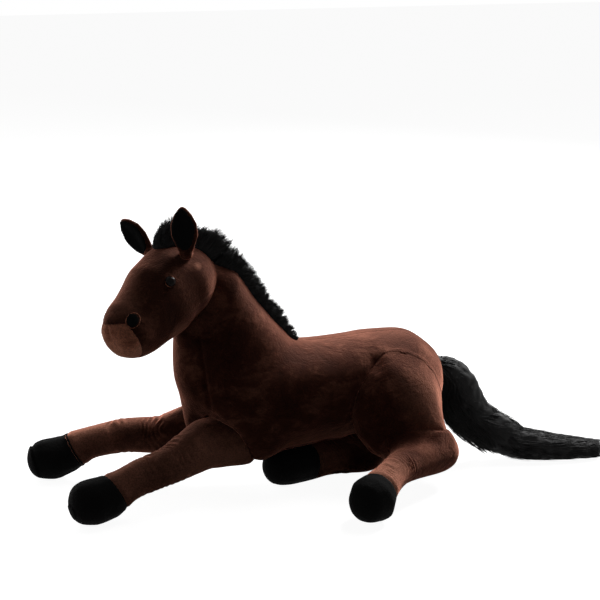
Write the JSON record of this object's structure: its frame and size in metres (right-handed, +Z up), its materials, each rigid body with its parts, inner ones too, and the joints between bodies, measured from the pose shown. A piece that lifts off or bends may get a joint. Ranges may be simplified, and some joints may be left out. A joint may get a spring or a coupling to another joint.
{
  "type": "plush horse",
  "caption": "Large lying plush horse: stuffed body with folded hind legs, stretched forelegs, turned head, faux-fur mane and tail, safety eyes and stitched joints",
  "frame": {"origin": "on the floor, under the middle of the bounding box", "axes": "+X to the tail, -X to the forehooves; -Y is the animal's left, where its head and hind hooves point; +Z up"},
  "size_m": [0.7456, 0.3328, 0.3698],
  "materials": {
    "plush": "short brushed chestnut pile",
    "pale_plush": "lighter short pile of the muzzle",
    "black_plush": "black short pile",
    "hair": "long black faux fur",
    "eye": "polished",
    "washer": "moulded",
    "filling": "loose polyester fibre"
  },
  "bodies": {
    "torso": {"left_torso_panel": "plush", "right_torso_panel": "plush", "chest_gusset": "plush", "left_neck_panel": "plush", "right_neck_panel": "plush", "throat_gusset": "plush", "body_filling": "filling", "neck_mane": "hair", "left_thigh_cover": "plush", "left_thigh_filling": "filling", "right_thigh_cover": "plush", "right_thigh_filling": "filling"},
    "head": {"left_head_panel": "plush", "right_head_panel": "plush", "muzzle_panel": "pale_plush", "head_filling": "filling", "left_eye": "eye", "left_eye_washer": "washer", "left_nostril": "black_plush", "right_eye": "eye", "right_eye_washer": "washer", "right_nostril": "black_plush", "poll_mane": "hair", "forelock": "hair"},
    "left_ear": {"left_ear_back": "plush", "left_ear_lining": "black_plush"},
    "right_ear": {"right_ear_back": "plush", "right_ear_lining": "black_plush"},
    "left_foreleg": {"left_foreleg_cover": "plush", "left_fore_hoof": "black_plush", "left_foreleg_filling": "filling"},
    "right_foreleg": {"right_foreleg_cover": "plush", "right_fore_hoof": "black_plush", "right_foreleg_filling": "filling"},
    "left_hind_cannon": {"left_cannon_cover": "plush", "left_cannon_filling": "filling", "left_hind_hoof": "black_plush"},
    "right_hind_cannon": {"right_cannon_cover": "plush", "right_cannon_filling": "filling", "right_hind_hoof": "black_plush"},
    "tail_root": {"tail_top": "hair"},
    "tail_run": {"tail_end": "hair"}
  },
  "joints": [
    {"name": "head_turn", "type": "hinge", "parent": "torso", "child": "head", "pos_m": [-0.18983, 0.04609, 0.2698], "axis": [-0.4067, 0, 0.9135], "range_deg": [-15, 15], "stiffness_Nm_per_rad": 8},
    {"name": "left_ear_fold", "type": "hinge", "parent": "head", "child": "left_ear", "pos_m": [-0.18858, 0.01706, 0.31032], "axis": [-0.9283, 0.3712, -0.0218], "range_deg": [-10, 10], "stiffness_Nm_per_rad": 0.05},
    {"name": "right_ear_fold", "type": "hinge", "parent": "head", "child": "right_ear", "pos_m": [-0.22052, 0.06945, 0.30139], "axis": [-0.5507, 0.5661, -0.6134], "range_deg": [-10, 10], "stiffness_Nm_per_rad": 0.05},
    {"name": "left_shoulder_lift", "type": "hinge", "parent": "torso", "child": "left_foreleg", "pos_m": [-0.14533, 0.01489, 0.068], "axis": [0, 1, 0], "range_deg": [0, 18], "stiffness_Nm_per_rad": 30},
    {"name": "right_shoulder_lift", "type": "hinge", "parent": "torso", "child": "right_foreleg", "pos_m": [-0.14533, 0.08489, 0.068], "axis": [0, 1, 0], "range_deg": [0, 18], "stiffness_Nm_per_rad": 30},
    {"name": "left_hock_swing", "type": "hinge", "parent": "torso", "child": "left_hind_cannon", "pos_m": [0.12467, -0.03811, 0.042], "axis": [0, 0, 1], "range_deg": [-8, 8], "stiffness_Nm_per_rad": 1},
    {"name": "right_hock_swing", "type": "hinge", "parent": "torso", "child": "right_hind_cannon", "pos_m": [0.11667, 0.11189, 0.02423], "axis": [0, 0, 1], "range_deg": [-8, 8], "stiffness_Nm_per_rad": 1},
    {"name": "tail_swing", "type": "hinge", "parent": "torso", "child": "tail_root", "pos_m": [0.15267, 0.04989, 0.127], "axis": [0, 0, 1], "range_deg": [-12, 12], "stiffness_Nm_per_rad": 0.4},
    {"name": "tail_end_swing", "type": "hinge", "parent": "tail_root", "child": "tail_run", "pos_m": [0.22367, 0.03189, 0.042], "axis": [0, 0, 1], "range_deg": [-12, 12], "stiffness_Nm_per_rad": 0.2}
  ]
}
